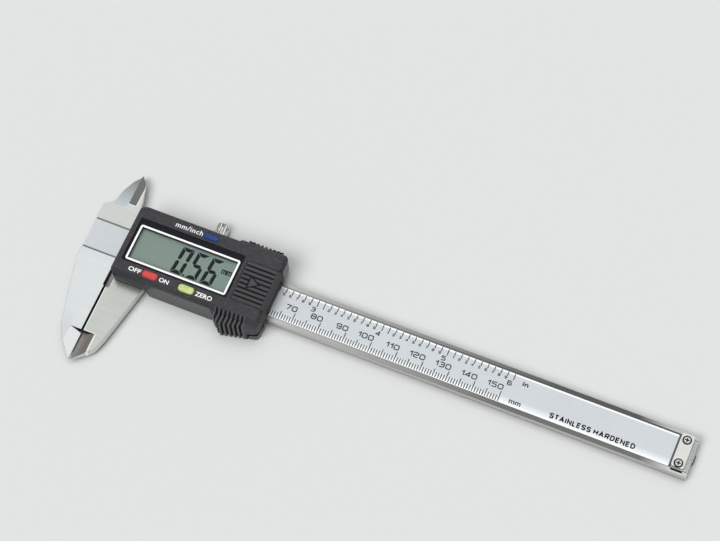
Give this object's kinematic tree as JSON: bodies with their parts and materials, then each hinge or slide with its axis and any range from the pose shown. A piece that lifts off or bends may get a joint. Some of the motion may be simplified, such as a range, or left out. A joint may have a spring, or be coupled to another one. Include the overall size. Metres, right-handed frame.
{
  "type": "digital caliper",
  "caption": "Steel sliding caliper with outside jaws, crossed inside jaws, depth rod, graduated scale, lock screw and a plastic housing with display, buttons and battery door",
  "frame": {"origin": "centre of the underside of the bounding box, level with the slider's flat back", "axes": "+X along the beam towards its tail, the way the jaws open; +Y across the beam towards the inside jaws; +Z out of the display face"},
  "size_m": [0.2358, 0.0768, 0.0138],
  "materials": {
    "steel": "satin ground stainless steel",
    "brass": "plain drawn brass",
    "board": "green circuit board",
    "foil": "printed satin foil",
    "housing": "fine-textured dark grey moulding",
    "bezel": "black moulding",
    "lens": "clear flat window with a printed border",
    "lcd": "grey-green liquid crystal glass",
    "rubber": "silicone contact strip",
    "epoxy": "black resin",
    "wiper": "grey felt-faced wiper",
    "button_blue": "smooth blue moulding",
    "button_red": "smooth red moulding",
    "button_yellow": "smooth yellow moulding"
  },
  "bodies": {
    "beam": {"beam": "steel", "scale_board": "board", "scale_foil": "foil", "stop_plate": "steel", "stop_screw_1": "steel", "stop_screw_2": "steel"},
    "slider": {"slider_frame": "steel", "gib_strip": "brass", "gib_screw_1": "steel", "gib_screw_2": "steel", "depth_rod": "steel", "back_plate": "steel", "plate_screw_1": "steel", "plate_screw_2": "steel", "plate_screw_3": "steel", "plate_screw_4": "steel", "front_cover": "housing", "cover_screw_1": "steel", "cover_screw_2": "steel", "cover_screw_3": "steel", "cover_screw_4": "steel", "end_wiper": "wiper", "window_lens": "lens", "display_frame": "bezel", "lcd_glass": "lcd", "contact_rubber_1": "rubber", "contact_rubber_2": "rubber", "main_board": "board", "board_screw_1": "steel", "board_screw_2": "steel", "chip": "epoxy", "switch_unit": "epoxy", "switch_power": "epoxy", "switch_zero": "epoxy", "battery": "steel", "battery_contact_negative": "brass", "battery_contact_positive": "brass"},
    "lock_pad": {"lock_pad": "brass"},
    "lock_screw": {"lock_screw": "steel"},
    "button_unit": {"button_unit": "button_blue"},
    "button_power": {"button_power": "button_red"},
    "button_zero": {"button_zero": "button_yellow"},
    "battery_door": {"battery_door": "housing"}
  },
  "joints": [
    {"name": "slider_travel", "type": "slide", "parent": "beam", "child": "slider", "axis": [1, 0, 0], "range_m": [-0.00055, 0.1533]},
    {"name": "lock_advance", "type": "slide", "parent": "slider", "child": "lock_pad", "axis": [0, -1, 0], "range_m": [-0.0005, 0.0001]},
    {"name": "lock_turn", "type": "hinge", "parent": "lock_pad", "child": "lock_screw", "pos_m": [-0.07278, 0.02875, 0.00305], "axis": [0, -1, 0], "range_deg": [-360, 72]},
    {"name": "unit_press", "type": "slide", "parent": "slider", "child": "button_unit", "axis": [0, 0, -1], "range_m": [0, 0.0004], "stiffness_N_per_m": 2500, "springref_m": -0.0001},
    {"name": "power_press", "type": "slide", "parent": "slider", "child": "button_power", "axis": [0, 0, -1], "range_m": [0, 0.0004], "stiffness_N_per_m": 2500, "springref_m": -0.0001},
    {"name": "zero_press", "type": "slide", "parent": "slider", "child": "button_zero", "axis": [0, 0, -1], "range_m": [0, 0.0004], "stiffness_N_per_m": 2500, "springref_m": -0.0001},
    {"name": "door_slide", "type": "slide", "parent": "slider", "child": "battery_door", "axis": [1, 0, 0], "range_m": [0, 0.013]}
  ],
  "couplings": [
    {"joint": "lock_turn", "follows": "lock_advance", "rad_per_m": 12566}
  ]
}
